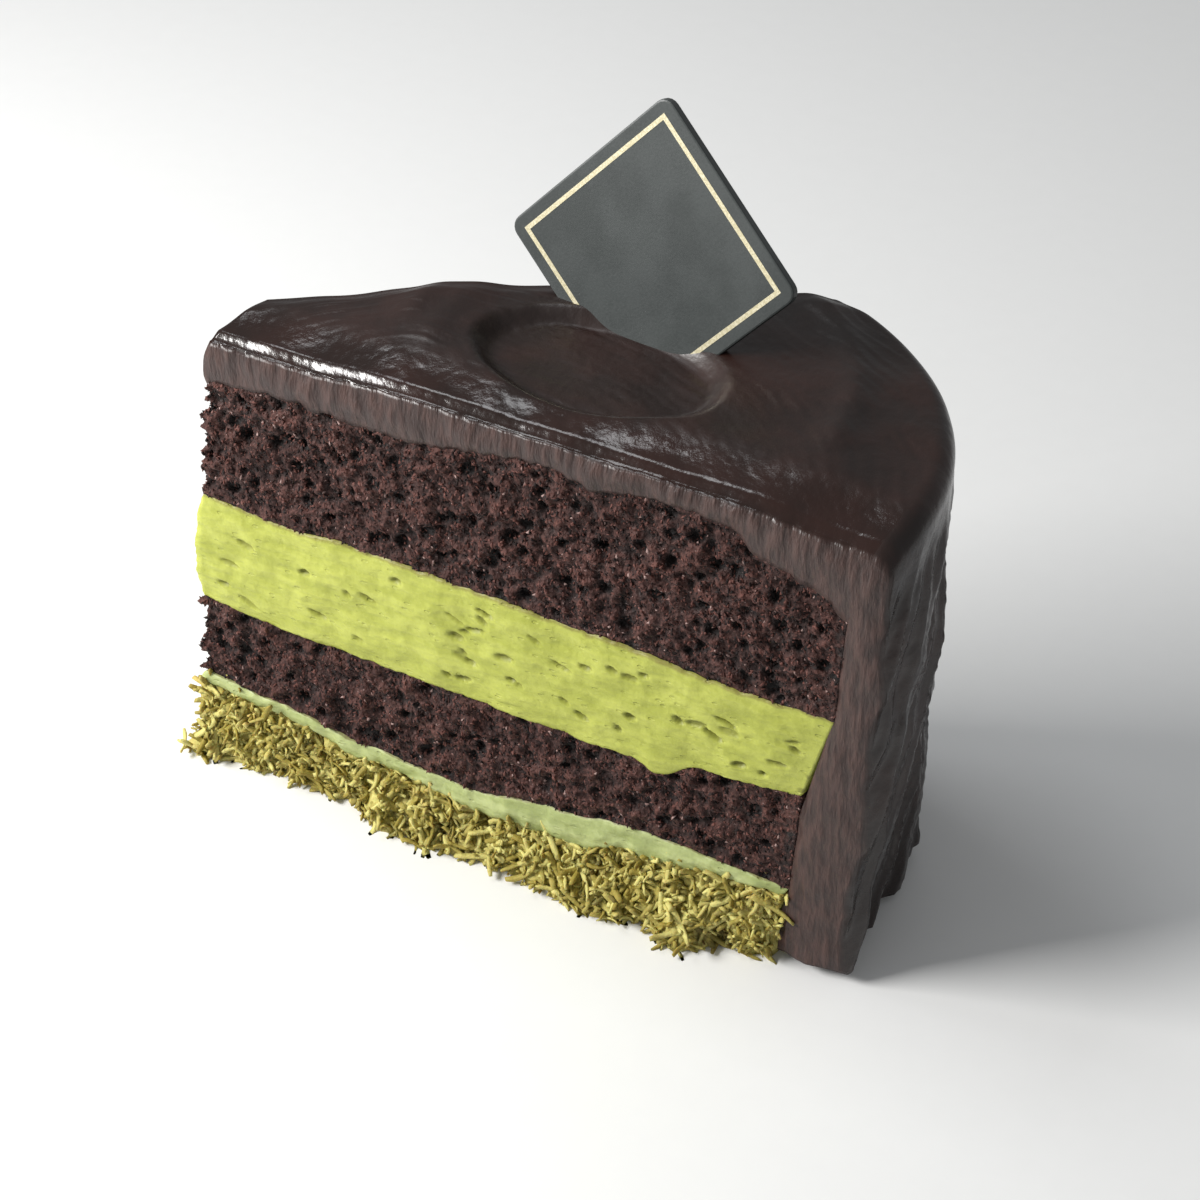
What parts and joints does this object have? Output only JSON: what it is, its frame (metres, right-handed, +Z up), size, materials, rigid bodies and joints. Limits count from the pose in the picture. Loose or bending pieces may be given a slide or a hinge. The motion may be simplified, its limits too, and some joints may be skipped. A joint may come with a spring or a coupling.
{
  "type": "slice of chocolate layer cake",
  "caption": "Wedge of glazed chocolate cake with sponge, green cream and a crunchy base showing at the cut, and a square plaque standing on its corner in the top.",
  "frame": {"origin": "centre of the slice's footprint box, on the surface it rests on", "axes": "+X from the tip to the glazed side, the front cut faces -Y, +Z up"},
  "size_m": [0.1058, 0.0492, 0.1058],
  "materials": {
    "crunch": "rough shredded pastry crunch",
    "pale_cream": "smooth moist pale green cream",
    "lower_sponge": "crumbly dark chocolate sponge",
    "green_cream": "satin green cream with air holes",
    "upper_sponge": "crumbly dark chocolate sponge",
    "glaze": "glossy dark chocolate glaze with gold flecks",
    "plaque": "satin charcoal with a thin gold border line"
  },
  "bodies": {
    "root": {"base": "crunch", "thin_cream": "pale_cream", "lower_sponge": "lower_sponge", "cream": "green_cream", "upper_sponge": "upper_sponge", "glaze": "glaze", "plaque": "plaque"}
  },
  "joints": []
}
